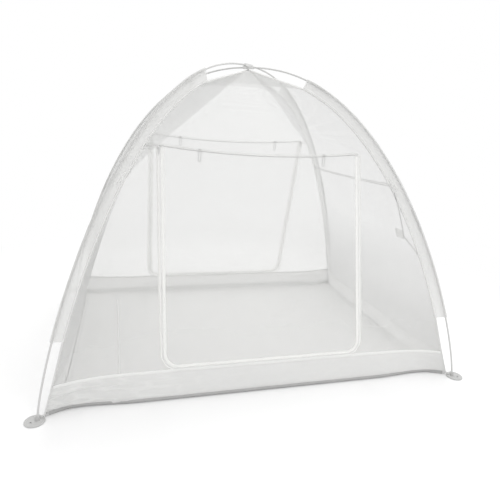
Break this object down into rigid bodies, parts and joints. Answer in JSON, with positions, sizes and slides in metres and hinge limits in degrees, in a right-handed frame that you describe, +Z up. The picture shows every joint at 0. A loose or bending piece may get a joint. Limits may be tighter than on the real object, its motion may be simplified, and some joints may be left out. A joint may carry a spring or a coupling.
{
  "type": "mosquito net tent",
  "caption": "Free-standing dome mosquito net with two crossed flexible rods in corner sleeves, zipped doors front and back, and a closed cloth band and floor.",
  "frame": {"origin": "on the ground, midway between the feet", "axes": "+X to the right along the long side as seen from the front door, +Y from the front door to the back door, +Z up"},
  "size_m": [2.0986, 1.5938, 1.5268],
  "materials": {
    "white_net": "fine see-through mesh",
    "white_cloth": "plain close weave",
    "white_tape": "woven tape",
    "elastic": "braided elastic",
    "grey_rod": "glass-fibre rod",
    "white_plastic": "moulded",
    "zinc": "die-cast"
  },
  "bodies": {
    "tent": {"rod_a_section_1": "grey_rod", "rod_a_section_2": "grey_rod", "rod_a_section_3": "grey_rod", "rod_a_section_4": "grey_rod", "rod_a_section_5": "grey_rod", "shock_cord_a": "elastic", "rod_b_section_1": "grey_rod", "rod_b_section_2": "grey_rod", "rod_b_section_3": "grey_rod", "rod_b_section_4": "grey_rod", "rod_b_section_5": "grey_rod", "shock_cord_b": "elastic", "apex_clip": "white_plastic", "foot_front_left": "white_plastic", "sleeve_front_left": "white_cloth", "strap_front_left": "white_tape", "foot_front_right": "white_plastic", "sleeve_front_right": "white_cloth", "strap_front_right": "white_tape", "foot_back_right": "white_plastic", "sleeve_back_right": "white_cloth", "strap_back_right": "white_tape", "foot_back_left": "white_plastic", "sleeve_back_left": "white_cloth", "strap_back_left": "white_tape", "roof_front": "white_net", "band_front": "white_cloth", "seam_tape_front": "white_tape", "roof_back": "white_net", "band_back": "white_cloth", "seam_tape_back": "white_tape", "roof_left": "white_net", "band_left": "white_cloth", "seam_tape_left": "white_tape", "roof_right": "white_net", "band_right": "white_cloth", "seam_tape_right": "white_tape", "wall_front_left": "white_net", "wall_front_right": "white_net", "wall_back_left": "white_net", "wall_back_right": "white_net", "wall_left": "white_net", "wall_right": "white_net", "floor_sheet": "white_cloth", "zip_front": "white_tape", "zip_back": "white_tape"},
    "door_front": {"door_front": "white_net", "door_tape_front": "white_tape"},
    "slider_front": {"slider_front": "zinc"},
    "pull_front_outer": {"pull_front_outer": "zinc"},
    "pull_front_inner": {"pull_front_inner": "zinc"},
    "door_loop_front_left": {"door_loop_front_left": "elastic"},
    "door_loop_front_right": {"door_loop_front_right": "elastic"},
    "door_back": {"door_back": "white_net", "door_tape_back": "white_tape"},
    "slider_back": {"slider_back": "zinc"},
    "pull_back_outer": {"pull_back_outer": "zinc"},
    "pull_back_inner": {"pull_back_inner": "zinc"},
    "door_loop_back_left": {"door_loop_back_left": "elastic"},
    "door_loop_back_right": {"door_loop_back_right": "elastic"}
  },
  "joints": [
    {"name": "door_front_lift", "type": "hinge", "parent": "tent", "child": "door_front", "pos_m": [0, -0.39998, 1.10002], "axis": [-1, 0, 0], "range_deg": [0, 110]},
    {"name": "door_back_lift", "type": "hinge", "parent": "tent", "child": "door_back", "pos_m": [0, 0.39998, 1.13498], "axis": [1, 0, 0], "range_deg": [0, 110]},
    {"name": "zip_front_run", "type": "slide", "parent": "tent", "child": "slider_front", "axis": [0, -0.2549, -0.967], "range_m": [0, 0.83]},
    {"name": "zip_back_run", "type": "slide", "parent": "tent", "child": "slider_back", "axis": [0, 0.2476, -0.9689], "range_m": [0, 0.865]},
    {"name": "pull_front_outer_swing", "type": "hinge", "parent": "slider_front", "child": "pull_front_outer", "pos_m": [-0.49451, -0.40652, 1.08934], "axis": [-1, 0, 0], "range_deg": [0, 150]},
    {"name": "pull_front_inner_swing", "type": "hinge", "parent": "slider_front", "child": "pull_front_inner", "pos_m": [-0.49451, -0.39685, 1.08679], "axis": [1, 0, 0], "range_deg": [-12, 150]},
    {"name": "pull_back_outer_swing", "type": "hinge", "parent": "slider_back", "child": "pull_back_outer", "pos_m": [0.49451, 0.40643, 1.12425], "axis": [1, 0, 0], "range_deg": [0, 150]},
    {"name": "pull_back_inner_swing", "type": "hinge", "parent": "slider_back", "child": "pull_back_inner", "pos_m": [0.49451, 0.39675, 1.12177], "axis": [-1, 0, 0], "range_deg": [-12, 150]},
    {"name": "door_loop_front_left_swing", "type": "hinge", "parent": "tent", "child": "door_loop_front_left", "pos_m": [-0.31015, -0.39408, 1.08763], "axis": [1, 0, 0], "range_deg": [-15, 95]},
    {"name": "door_loop_front_right_swing", "type": "hinge", "parent": "tent", "child": "door_loop_front_right", "pos_m": [0.31015, -0.39408, 1.08763], "axis": [1, 0, 0], "range_deg": [-15, 95]},
    {"name": "door_loop_back_left_swing", "type": "hinge", "parent": "tent", "child": "door_loop_back_left", "pos_m": [0.31016, 0.39341, 1.12246], "axis": [-1, 0, 0], "range_deg": [-15, 95]},
    {"name": "door_loop_back_right_swing", "type": "hinge", "parent": "tent", "child": "door_loop_back_right", "pos_m": [-0.31016, 0.39341, 1.12246], "axis": [-1, 0, 0], "range_deg": [-15, 95]}
  ]
}
